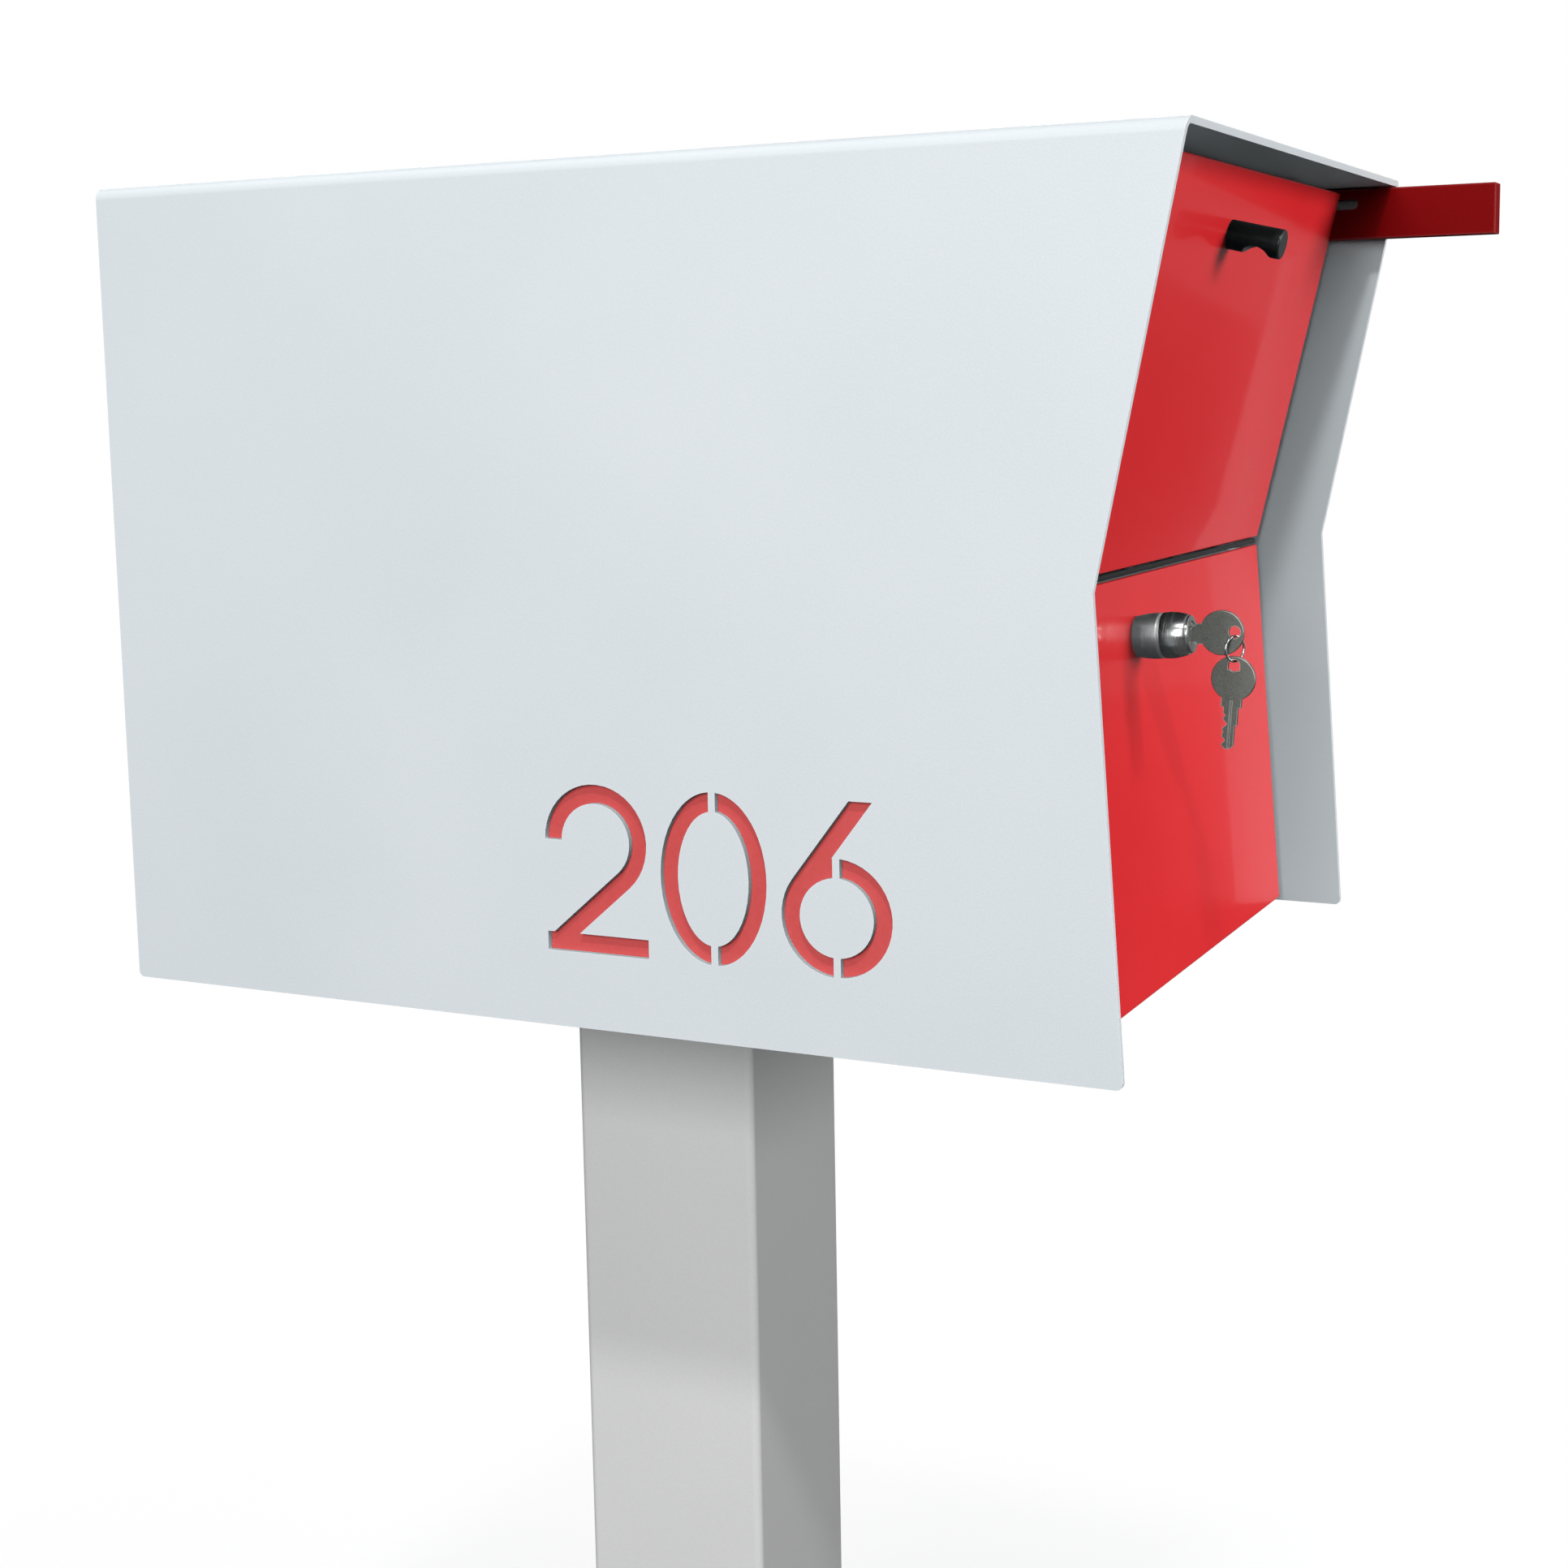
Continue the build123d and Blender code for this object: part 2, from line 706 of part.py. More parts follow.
def upper_door_panel():
    tray = door_tray(leaf_offset, upper_top)
    for x in rivet_places():
        hole = Rot(90, 0, 0) * Cylinder(rivet_radius, 4 * door_sheet)
        tray -= Pos(x, leaf_offset, -leaf_reach * rivet_share) * hole
    tray -= Pos(knob_x, knob_local_y(), -door_sheet) * Cylinder(knob_screw_radius, 4 * door_sheet)
    return upper_plane * tray


def lower_door_panel():
    low = door_bottom_rise
    tray = door_tray(low, lower_top)
    floor_top = floor_rise + floor_sheet + return_floor_gap
    start = (floor_top + door_return * sin(lower_lean)) / cos(lower_lean)
    tray -= span(-door_half, door_half, low - 1, start, -door_return, -door_sheet)
    tray -= Pos(lock_x, lock_local_y(), -door_sheet) * Cylinder(body_radius, 4 * door_sheet)
    return lower_plane * tray


def knob_local_y():
    return (knob_height - seam_height) / cos(upper_lean)


def lock_local_y():
    return lock_height / cos(lower_lean)


def pull_knob():
    """Short round pull with a finger scoop along its underside."""
    knob = Pos(0, 0, knob_length / 2) * Cylinder(knob_radius, knob_length)
    knob = fillet(knob.edges().sort_by(Axis.Z)[-1], knob_edge)
    scoop_y = -knob_radius - scoop_radius + scoop_depth
    scoop = Rot(0, 90, 0) * Cylinder(scoop_radius, 4 * knob_radius)
    knob -= Pos(0, scoop_y, knob_length * scoop_share) * scoop
    knob -= Pos(0, 0, knob_screw_bite / 2) * Cylinder(knob_screw_radius, knob_screw_bite)
    return upper_plane * Pos(knob_x, knob_local_y(), 0) * knob


def knob_screw():
    length = door_sheet + knob_screw_bite - knob_screw_short
    half_high = knob_screw_head_high / 2
    screw = Pos(0, 0, length / 2 - door_sheet) * Cylinder(knob_screw_radius, length)
    head = Cylinder(knob_screw_head, knob_screw_head_high)
    head = fillet(head.edges().sort_by(Axis.Z)[0], half_high)
    head -= Pos(0, 0, -half_high) * Box(knob_screw_slot, 1.5 * knob_screw_head, half_high)
    screw += Pos(0, 0, -door_sheet - half_high) * head
    return upper_plane * Pos(knob_x, knob_local_y(), 0) * screw


def catch_pieces():
    """Magnets on the frame's header and the strikes they hold on the door."""
    magnets, strikes = [], []
    y = upper_top - magnet_drop
    front = -door_sheet - strike_thick - strike_gap
    for side in (-1, 1):
        x = side * magnet_spacing / 2
        half = magnet_length / 2
        body = span(x - half, x + half, y - magnet_high / 2, y + magnet_high / 2, -frame_depth, front)
        magnets.append(upper_plane * fillet(body.edges().filter_by(Axis.Z), magnet_corner))
        strike = span(
            x - half, x + half, y - magnet_high / 2, y + magnet_high / 2,
            -door_sheet - strike_thick, -door_sheet,
        )
        strikes.append(upper_plane * strike)
    return magnets, strikes


def door_seal():
    """Black rubber strip on the header, just above the upper door's top edge."""
    half = door_half - seal_side_gap
    roof_rise = shell_height - shell_sheet - seal_roof_gap - seam_height
    top = (roof_rise - frame_depth * sin(upper_lean)) / cos(upper_lean)
    rear = -frame_depth
    return upper_plane * span(-half, half, top - seal_high, top, rear, rear + seal_thick)


# Lock and keys, on the lock's axis: z out of the lower door's face

lock_plane = Plane(
    origin=lower_plane.from_local_coords(Vector(lock_x, lock_local_y(), 0)),
    x_dir=(1, 0, 0),
    z_dir=lower_out,
)
collar_length = lock_reach * collar_share
body_rear = rail_depth + frame_sheet + cam_clear


def turned(points):
    """A solid turned about Z from a closed (radius, height) outline."""
    return revolve(make_face(Polyline(*[(r, 0, z) for r, z in points], close=True)), Axis.Z)


def lock_collar():
    """Satin rear half of the lock, swelling from the door to the groove."""
    outline = Polyline(
        (lock_belly - groove_depth, 0, collar_length),
        (body_radius, 0, collar_length),
        (body_radius, 0, 0),
        (lock_foot, 0, 0),
    )
    swell = ThreePointArc(
        (lock_foot, 0, 0),
        (lock_belly - lock_swell, 0, collar_length * 0.45),
        (lock_belly, 0, collar_length - groove_width),
    )
    step = Line(
        (lock_belly, 0, collar_length - groove_width),
        (lock_belly - groove_depth, 0, collar_length),
    )
    return lock_plane * revolve(make_face(outline + swell + step), Axis.Z)


def lock_barrel():
    """Polished front half, with the threaded body that passes through the door."""
    shoulder = collar_length + groove_width
    rim_start = lock_reach - rim_length
    front = Polyline(
        (0, 0, collar_length),
        (lock_belly - groove_depth, 0, collar_length),
        (lock_belly, 0, shoulder),
    )
    taper = ThreePointArc(
        (lock_belly, 0, shoulder),
        (lock_belly - lock_swell, 0, (shoulder + rim_start) / 2 + 1),
        (lock_rim + rim_step, 0, rim_start),
    )
    rim = Polyline(
        (lock_rim + rim_step, 0, rim_start),
        (lock_rim, 0, rim_start + rim_step),
        (lock_rim, 0, lock_reach - rim_edge),
        (lock_rim - rim_edge, 0, lock_reach),
        (0, 0, lock_reach),
        (0, 0, collar_length),
    )
    barrel = revolve(make_face(front + taper + rim), Axis.Z)
    body_length = collar_length + body_rear - cam_clear
    barrel += Pos(0, 0, collar_length - body_length / 2) * Cylinder(body_radius, body_length)
    bore = Cylinder(plug_radius + plug_play, lock_reach + 2 * body_rear)
    return lock_plane * (barrel - bore)


def lock_nut():
    nut = hex_nut(lock_nut_across, body_radius, lock_nut_thick)
    return lock_plane * Pos(0, 0, -door_sheet - lock_nut_thick) * nut


def lock_plug():
    """Turning plug with its keyway, and a boss at the rear for the cam."""
    face = lock_reach - plug_recess
    plug = Pos(0, 0, (face - body_rear) / 2) * Cylinder(plug_radius, face + body_rear)
    plug = chamfer(plug.edges().sort_by(Axis.Z)[-1], rim_edge)
    width = key_thick + 2 * key_play
    high = 2 * (blade_half_height + key_play)
    slot_deep = blade_depth + 1
    plug -= Pos(0, 0, face - slot_deep / 2) * Box(width, high, slot_deep)
    boss = Cylinder(cam_boss_radius, cam_thick)
    plug += Pos(0, 0, -body_rear - cam_thick / 2) * boss
    rear = -body_rear - cam_thick
    hole = Cylinder(cam_screw_radius, cam_screw_length())
    return lock_plane * (plug - Pos(0, 0, rear + cam_screw_length() / 2) * hole)


def cam_latch():
    """Flat cam on the plug's rear, pointing along +X when unlocked."""
    flat = SlotCenterToCenter(cam_reach - cam_half_width, 2 * cam_half_width)
    cam = extrude(Pos((cam_reach - cam_half_width) / 2, 0) * flat, amount=cam_thick)
    cam -= Cylinder(cam_boss_radius, 4 * cam_thick)
    return lock_plane * Pos(0, 0, -body_rear - cam_thick) * cam


def cam_screw_length():
    return cam_thick + cam_screw_depth


def cam_screw():
    rear = -body_rear - cam_thick
    shank = Pos(0, 0, rear + cam_screw_length() / 2) * Cylinder(cam_screw_radius, cam_screw_length())
    head = Pos(0, 0, rear - cam_screw_head_high) * hex_head(cam_screw_across, cam_screw_head_high)
    return lock_plane * (shank + head)


def bow_disc():
    """The key's round grip, centred on the origin, in the YZ plane."""
    disc = Rot(0, 90, 0) * Cylinder(bow_radius, key_thick)
    return fillet(disc.edges().filter_by(GeomType.CIRCLE), bow_edge)


def blade_steps(start, run):
    """Shallow cuts along one edge of a key blade that runs along +Z."""
    cuts = []
    pitch = run / (len(bitting) + 1)
    for i, deep in enumerate(bitting):
        tooth = Pos(0, blade_half_height, start + (i + 1) * pitch) * Rot(45, 0, 0)
        cuts.append(tooth * Box(2 * key_thick, 2 * deep, 2 * deep))
    return cuts


key_bow_z = lock_reach + bow_gap + bow_radius


def key_in_lock():
    """Key with its blade in the plug and its round bow in front."""
    tip = lock_reach - plug_recess - blade_depth
    neck_end = key_bow_z - bow_radius * neck_share
    blade = span(-key_thick / 2, key_thick / 2, -blade_half_height, blade_half_height, tip, neck_end)
    for cut in blade_steps(tip, lock_reach + bow_gap - tip):
        blade -= cut
    neck_start = lock_reach + bow_gap * 0.45
    neck = span(-key_thick / 2, key_thick / 2, -bow_neck_half, bow_neck_half, neck_start, neck_end)
    key = blade + neck + Pos(0, 0, key_bow_z) * bow_disc()
    hole = Rot(0, 90, 0) * Cylinder(bow_hole_radius, 2 * key_thick)
    return lock_plane * (key - Pos(0, 0, key_bow_z + bow_hole_offset) * hole)


key_hole = lock_plane.from_local_coords(Vector(0, 0, key_bow_z + bow_hole_offset))
ring_top = key_hole - Vector(0, 0, bow_hole_radius - ring_wire - ring_rest)
ring_centre = ring_top - Vector(0, 0, ring_radius)
ring_bottom = ring_centre - Vector(0, 0, ring_radius)


def key_ring():
    """Wire ring through both bows, turned so that it passes through their holes."""
    normal = (sin(radians(ring_turn)), cos(radians(ring_turn)), 0)
    place = Plane(origin=ring_centre, x_dir=(0, 0, 1), z_dir=normal)
    return place * Torus(ring_radius, ring_wire)


def spare_key():
    """Second key, hanging from the ring by the hole at the top of its bow."""
    shank_top = -bow_hole_offset - bow_radius * neck_share
    shank_low = -bow_hole_offset - bow_radius - spare_shank
    half = key_thick / 2
    key = Pos(0, 0, -bow_hole_offset) * bow_disc()
    key += span(-half, half, -bow_neck_half, bow_neck_half, shank_top - spare_shoulder, shank_top)
    wide = blade_half_height * spare_step_share
    shoulder = shank_top - spare_shoulder
    key += span(-half, half, -wide, wide, shoulder - spare_step_length, shoulder)
    slim = blade_half_height * spare_blade_share
    blade = span(-half, half, -slim, wide, shank_low, shoulder)
    key += chamfer(blade.edges().filter_by(Axis.X).sort_by(Axis.Z)[:2], spare_tip)
    for cut in blade_steps(shank_low, shoulder - shank_low):
        key -= Pos(0, wide - blade_half_height, 0) * cut
    deep = spare_groove
    groove = span(half - deep, half, -deep, deep, shank_low + deep, shank_top - 4 * deep)
    key -= groove + Pos(deep - 2 * half, 0, 0) * groove
    radius = spare_hole_radius
    slot = span(-2 * half, 2 * half, -radius, radius, -spare_slot_drop, 0)
    slot += Rot(0, 90, 0) * Cylinder(radius, 4 * half)
    lift = ring_wire + ring_rest - spare_hole_radius
    return Pos(*ring_bottom) * Rot(-spare_tilt, 0, 0) * Pos(0, 0, lift) * (key - slot)


# Flag

def flag_zone():
    """The bar's lowest and highest z."""
    high = box_z + shell_height - shell_sheet - flag_roof_gap
    return high - flag_high, high


def flag_stud_depths():
    """Distances of both studs behind the roof's front edge."""
    first = flag_slot_start + flag_travel + flag_stud_radius + flag_slot_play
    return first, first + flag_stud_pitch


def flag_bar():
    z0, z1 = flag_zone()
    x1 = inner_half - flag_washer_thick
    x0 = x1 - flag_thick
    slot_end = flag_stud_depths()[1] + flag_stud_radius + flag_slot_play
    front = depth_y(roof_depth + flag_reach)
    rear = depth_y(roof_depth - slot_end - flag_tail)
    bar = fillet(span(x0, x1, front, rear, z0, z1).edges(), flag_edge)
    slot_z = (z0 + z1) / 2 + flag_slot_rise
    radius = flag_stud_radius + flag_slot_play
    slot_run = slot_end - flag_slot_start
    slot = Rot(0, 90, 0) * extrude(
        SlotOverall(slot_run, 2 * radius, rotation=90), amount=flag_thick, both=True
    )
    middle = depth_y(roof_depth - (slot_end + flag_slot_start) / 2)
    return bar - Pos((x0 + x1) / 2, middle, slot_z) * slot


def flag_fasteners():
    """Weld studs, nylon washers and lock nuts that guide the flag bar."""
    z0, z1 = flag_zone()
    z = (z0 + z1) / 2 + flag_slot_rise
    stack = 2 * flag_washer_thick + flag_thick
    studs, washers, nuts = [], [], []
    for back in flag_stud_depths():
        y = depth_y(roof_depth - back)
        turn = Rot(0, -90, 0)
        length = stack + flag_stud_nut_thick + flag_stud_past_nut
        stud = Pos(0, 0, length / 2) * Cylinder(flag_stud_radius, length)
        studs.append(Pos(inner_half, y, z) * turn * stud)
        ring = washer(flag_washer_radius, flag_stud_radius, flag_washer_thick)
        washers.append(Pos(inner_half, y, z) * turn * ring)
        washers.append(Pos(inner_half - stack + flag_washer_thick, y, z) * turn * ring)
        nut = hex_nut(flag_stud_nut_across, flag_stud_radius, flag_stud_nut_thick)
        nuts.append(Pos(inner_half - stack, y, z) * turn * nut)
    return studs, washers, nuts


def group(solids):
    return Compound(children=list(solids))


def build():
    """Every node by its name."""
    mount_washers, mount_bolts, mount_nuts = mount_fasteners()
    backer_studs, backer_nuts = backer_fasteners()
    upper_fixed, upper_moving, upper_pin, upper_fixed_rivets, upper_moving_rivets = upper_hinge()
    lower_fixed, lower_moving, lower_pin, lower_rivets = lower_hinge()
    magnets, strikes = catch_pieces()
    flag_studs, flag_washers, flag_nuts = flag_fasteners()
    return {
        "base_plate": base_plate(),
        "post_tube": post_tube(),
        "head_plate": head_plate(),
        "mount_washers": group(mount_washers),
        "mount_bolts": group(mount_bolts),
        "mount_nuts": group(mount_nuts),
        "outer_shell": outer_shell(),
        "floor_pan": floor_pan(),
        "back_panel": back_panel(),
        "door_frame": door_frame(),
        "waist_rail": waist_rail(),
        "mail_shelf": mail_shelf(),
        "drop_baffle": drop_baffle(),
        "number_backer": number_backer(),
        "backer_studs": group(backer_studs),
        "backer_nuts": group(backer_nuts),
        "door_seal": door_seal(),
        "catch_magnets": group(magnets),
        "upper_hinge_fixed_leaf": upper_fixed,
        "upper_hinge_pin": upper_pin,
        "upper_hinge_fixed_rivets": group(upper_fixed_rivets),
        "lower_hinge_fixed_leaf": lower_fixed,
        "lower_hinge_pin": lower_pin,
        "lower_hinge_rivets": group(lower_rivets),
        "flag_studs": group(flag_studs),
        "flag_washers": group(flag_washers),
        "flag_lock_nuts": group(flag_nuts),
        "upper_door_panel": upper_door_panel(),
        "upper_hinge_moving_leaf": upper_moving,
        "upper_hinge_moving_rivets": group(upper_moving_rivets),
        "catch_strikes": group(strikes),
        "pull_knob": pull_knob(),
        "knob_screw": knob_screw(),
        "lower_door_panel": lower_door_panel(),
        "lower_hinge_moving_leaf": lower_moving,
        "lock_collar": lock_collar(),
        "lock_barrel": lock_barrel(),
        "lock_nut": lock_nut(),
        "lock_plug": lock_plug(),
        "cam_latch": cam_latch(),
        "cam_screw": cam_screw(),
        "key_in_lock": key_in_lock(),
        "key_ring": key_ring(),
        "spare_key": spare_key(),
        "flag_bar": flag_bar(),
    }


os.makedirs("parts", exist_ok=True)
for name, solid in build().items():
    export_step(solid, f"parts/{name}.step")
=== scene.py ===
import json
from math import cos, radians, sin

import bmesh
import bpy
from mathutils import Matrix, Vector


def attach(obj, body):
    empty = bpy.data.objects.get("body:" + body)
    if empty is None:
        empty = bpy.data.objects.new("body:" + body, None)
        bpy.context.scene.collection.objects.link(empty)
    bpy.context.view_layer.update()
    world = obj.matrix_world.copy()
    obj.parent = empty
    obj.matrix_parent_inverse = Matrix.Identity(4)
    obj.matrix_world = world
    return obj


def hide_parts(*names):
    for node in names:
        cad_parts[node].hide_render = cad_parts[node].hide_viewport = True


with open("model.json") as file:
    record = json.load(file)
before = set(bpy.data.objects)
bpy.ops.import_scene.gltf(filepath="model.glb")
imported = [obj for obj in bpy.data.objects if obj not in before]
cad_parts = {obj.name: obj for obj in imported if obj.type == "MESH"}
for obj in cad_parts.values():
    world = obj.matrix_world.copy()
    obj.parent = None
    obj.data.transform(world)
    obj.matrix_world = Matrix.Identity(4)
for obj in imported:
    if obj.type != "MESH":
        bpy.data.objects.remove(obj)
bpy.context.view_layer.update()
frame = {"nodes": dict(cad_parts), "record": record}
nodes = frame["nodes"]
record = frame["record"]
bodies = record["behaviour"]["bodies"]
bodyOf = {node: body for body, members in bodies.items() for node in members}
slotOf = {row["node"]: row["material_slot"] for row in record["subparts"]}
print("frame loaded:", len(nodes), "nodes")


# Node helpers

def addNode(tree, kind, **inputs):
    made = tree.nodes.new(kind)
    for name, value in inputs.items():
        made.inputs[name.replace("_", " ")].default_value = value
    return made


def startGroup(name, inputs, outputs):
    tree = bpy.data.node_groups.new(name, "ShaderNodeTree")
    for label, value in inputs:
        socket = tree.interface.new_socket(label, in_out="INPUT", socket_type="NodeSocketFloat")
        socket.default_value = value
    for label in outputs:
        tree.interface.new_socket(label, in_out="OUTPUT", socket_type="NodeSocketFloat")
    given = tree.nodes.new("NodeGroupInput").outputs
    return tree, given, tree.nodes.new("NodeGroupOutput").inputs


def noiseNode(tree, coords, scale, detail=2.0):
    noise = addNode(tree, "ShaderNodeTexNoise", Detail=detail)
    tree.links.new(coords, noise.inputs["Vector"])
    setInput(tree, noise.inputs["Scale"], scale)
    return noise.outputs["Fac"]


def setInput(tree, socket, value):
    if isinstance(value, bpy.types.NodeSocket):
        tree.links.new(value, socket)
    elif isinstance(value, tuple):
        socket.default_value = (*value, 1.0)
    else:
        socket.default_value = value


def mathNode(tree, operation, a, b):
    made = tree.nodes.new("ShaderNodeMath")
    made.operation = operation
    setInput(tree, made.inputs[0], a)
    setInput(tree, made.inputs[1], b)
    return made.outputs[0]


def rangeNode(tree, value, low, high, toLow=0.0, toHigh=1.0):
    made = addNode(tree, "ShaderNodeMapRange", From_Min=low, From_Max=high,
                   To_Min=toLow, To_Max=toHigh)
    tree.links.new(value, made.inputs["Value"])
    return made.outputs["Result"]


def mixColour(tree, factor, a, b):
    made = tree.nodes.new("ShaderNodeMix")
    made.data_type = "RGBA"
    for socket, value in ((made.inputs[0], factor), (made.inputs[6], a), (made.inputs[7], b)):
        setInput(tree, socket, value)
    return made.outputs[2]


def objectCoords(tree):
    return tree.nodes.new("ShaderNodeTexCoord").outputs["Object"]


# Shared groups: powder grain, edge mask for a painted edge highlight and edge wear, brushed lines, zinc
# spangle

powderGrain = {"fleckFiner": 2.3, "peelShare": 0.35, "cloudShare": 0.65, "tone": (0.35, 0.65),
               "sparkle": (0.60, 0.70), "fleckHeight": 0.4}


def buildPowderGrain():
    tree, given, out = startGroup("powderGrain", [("Grain", 900.0), ("Cloud", 5.0)],
                                  ["Tone", "Sparkle", "Height"])
    coords = objectCoords(tree)
    peel = noiseNode(tree, coords, given["Grain"])
    finer = mathNode(tree, "MULTIPLY", given["Grain"], powderGrain["fleckFiner"])
    fleck = noiseNode(tree, coords, finer, 1.0)
    cloud = noiseNode(tree, coords, given["Cloud"], 3.0)
    tone = mathNode(tree, "ADD", mathNode(tree, "MULTIPLY", peel, powderGrain["peelShare"]),
                    mathNode(tree, "MULTIPLY", cloud, powderGrain["cloudShare"]))
    tree.links.new(rangeNode(tree, tone, *powderGrain["tone"]), out["Tone"])
    tree.links.new(rangeNode(tree, fleck, *powderGrain["sparkle"]), out["Sparkle"])
    raised = mathNode(tree, "MULTIPLY", fleck, powderGrain["fleckHeight"])
    tree.links.new(mathNode(tree, "ADD", peel, raised), out["Height"])
    return tree


edgeMask = {"samples": 4, "facing": (0.995, 0.90), "patches": (0.48, 0.62)}


def buildEdgeHighlightAndWear():
    tree, given, out = startGroup("edgeHighlightAndWear", [("Radius", 0.001), ("Breakup", 160.0)], ["Edge", "Wear"])
    rounded = tree.nodes.new("ShaderNodeBevel")
    rounded.samples = edgeMask["samples"]
    tree.links.new(given["Radius"], rounded.inputs["Radius"])
    facing = tree.nodes.new("ShaderNodeVectorMath")
    facing.operation = "DOT_PRODUCT"
    tree.links.new(rounded.outputs["Normal"], facing.inputs[0])
    tree.links.new(tree.nodes.new("ShaderNodeNewGeometry").outputs["Normal"], facing.inputs[1])
    # Edge: every rounded edge, used by the finishes as a painted highlight; Wear: the same edges broken
    # into patches of real wear
    edge = rangeNode(tree, facing.outputs["Value"], *edgeMask["facing"])
    breakup = noiseNode(tree, objectCoords(tree), given["Breakup"], 4.0)
    patches = rangeNode(tree, breakup, *edgeMask["patches"])
    tree.links.new(edge, out["Edge"])
    tree.links.new(mathNode(tree, "MULTIPLY", edge, patches), out["Wear"])
    return tree


scratchMarks = {"scale": 0.23, "detail": 5.0, "range": (0.60, 0.66)}


def buildBrushed():
    tree, given, out = startGroup("brushedLines", [("Along", 60.0), ("Across", 2400.0)],
                                  ["Line", "Scratch"])
    coords = objectCoords(tree)
    combine = tree.nodes.new("ShaderNodeCombineXYZ")
    split = tree.nodes.new("ShaderNodeSeparateXYZ")
    tree.links.new(coords, split.inputs[0])
    for axis, pitch in (("X", given["Along"]), ("Y", given["Across"]), ("Z", given["Along"])):
        tree.links.new(mathNode(tree, "MULTIPLY", split.outputs[axis], pitch), combine.inputs[axis])
    fine = noiseNode(tree, combine.outputs[0], 1.0, 3.0)
    tree.links.new(fine, out["Line"])
    coarse = noiseNode(tree, combine.outputs[0], scratchMarks["scale"], scratchMarks["detail"])
    tree.links.new(rangeNode(tree, coarse, *scratchMarks["range"]), out["Scratch"])
    return tree


zincStain = {"scale": 70.0, "detail": 4.0, "range": (0.45, 0.70)}


def buildSpangle():
    tree, given, out = startGroup("zincSpangle", [("Size", 260.0)], ["Facet", "Stain"])
    coords = objectCoords(tree)
    cells = tree.nodes.new("ShaderNodeTexVoronoi")
    tree.links.new(coords, cells.inputs["Vector"])
    tree.links.new(given["Size"], cells.inputs["Scale"])
    facet = tree.nodes.new("ShaderNodeRGBToBW")
    tree.links.new(cells.outputs["Color"], facet.inputs[0])
    tree.links.new(facet.outputs[0], out["Facet"])
    blotch = noiseNode(tree, coords, zincStain["scale"], zincStain["detail"])
    tree.links.new(rangeNode(tree, blotch, *zincStain["range"]), out["Stain"])
    return tree


groups = {
    "grain": buildPowderGrain(),
    "highlightAndWear": buildEdgeHighlightAndWear(),
    "brush": buildBrushed(),
    "spangle": buildSpangle(),
}


def useGroup(tree, name, **inputs):
    made = tree.nodes.new("ShaderNodeGroup")
    made.node_tree = groups[name]
    for key, value in inputs.items():
        made.inputs[key].default_value = value
    return made.outputs


# Finishes

def startMaterial(name, **shader):
    made = bpy.data.materials.new(name)
    made.use_nodes = True
    tree = made.node_tree
    principled = tree.nodes["Principled BSDF"]
    for key, value in shader.items():
        principled.inputs[key.replace("_", " ")].default_value = value
    return made, tree, principled


def tinted(tree, mask, share, colour, tint):
    return mixColour(tree, mathNode(tree, "MULTIPLY", mask, share), colour, tint)


def addBump(tree, principled, height, strength, distance):
    bump = addNode(tree, "ShaderNodeBump", Strength=strength, Distance=distance)
    tree.links.new(height, bump.inputs["Height"])
    tree.links.new(bump.outputs["Normal"], principled.inputs["Normal"])


def paintedMetal(name, look):
    made, tree, principled = startMaterial(name, Specular_IOR_Level=look["specular"],
                                           Coat_Weight=look["coat"], Coat_Roughness=look["coatRough"])
    grain = useGroup(tree, "grain", Grain=look["grain"], Cloud=look["cloud"])
    highlightAndWear = useGroup(tree, "highlightAndWear", Radius=look["edge"], Breakup=look["breakup"])
    colour = mixColour(tree, grain["Tone"], look["dark"], look["light"])
    colour = tinted(tree, grain["Sparkle"], look["sparkle"], colour, look["fleck"])
    # painted highlight: every rounded edge is lightened toward a paler tint, as if light caught on it
    colour = tinted(tree, highlightAndWear["Edge"], look["edgeHighlightShare"], colour, look["edgeHighlightTint"])
    colour = tinted(tree, highlightAndWear["Wear"], look["wearShare"], colour, look["worn"])
    tree.links.new(colour, principled.inputs["Base Color"])
    rough = rangeNode(tree, grain["Tone"], 0.0, 1.0, *look["rough"])
    tree.links.new(rough, principled.inputs["Roughness"])
    addBump(tree, principled, grain["Height"], look["bump"], look["bumpDeep"])
    return made


metalTrim = {"breakup": 300.0, "scratchRough": 0.12, "bumpDeep": 0.0002}


def plainMetal(name, look):
    made, tree, principled = startMaterial(name, Metallic=1.0, Anisotropic=look["aniso"])
    brush = useGroup(tree, "brush", Along=look["along"], Across=look["across"])
    highlightAndWear = useGroup(tree, "highlightAndWear", Radius=look["edge"], Breakup=metalTrim["breakup"])
    spangle = useGroup(tree, "spangle", Size=look["spangle"])
    colour = mixColour(tree, brush["Line"], look["dark"], look["light"])
    colour = tinted(tree, spangle["Stain"], look["stainShare"], colour, look["stain"])
    # painted highlight: the rounded edges are mixed fully to a pale colour, as if light caught on them
    colour = mixColour(tree, highlightAndWear["Edge"], colour, look["metalEdgeHighlight"])
    tree.links.new(colour, principled.inputs["Base Color"])
    smooth, coarse = look["rough"]
    rough = mathNode(tree, "ADD", mathNode(tree, "MULTIPLY", brush["Line"], coarse - smooth),
                     mathNode(tree, "MULTIPLY", spangle["Facet"], look["facet"]))
    scratched = mathNode(tree, "MULTIPLY", brush["Scratch"], metalTrim["scratchRough"])
    rough = mathNode(tree, "ADD", mathNode(tree, "ADD", rough, scratched), smooth)
    tree.links.new(rough, principled.inputs["Roughness"])
    addBump(tree, principled, brush["Line"], look["bump"], metalTrim["bumpDeep"])
    return made


mouldTrim = {"cloud": 30.0, "edge": 0.0008, "breakup": 240.0, "bumpDeep": 0.0003}


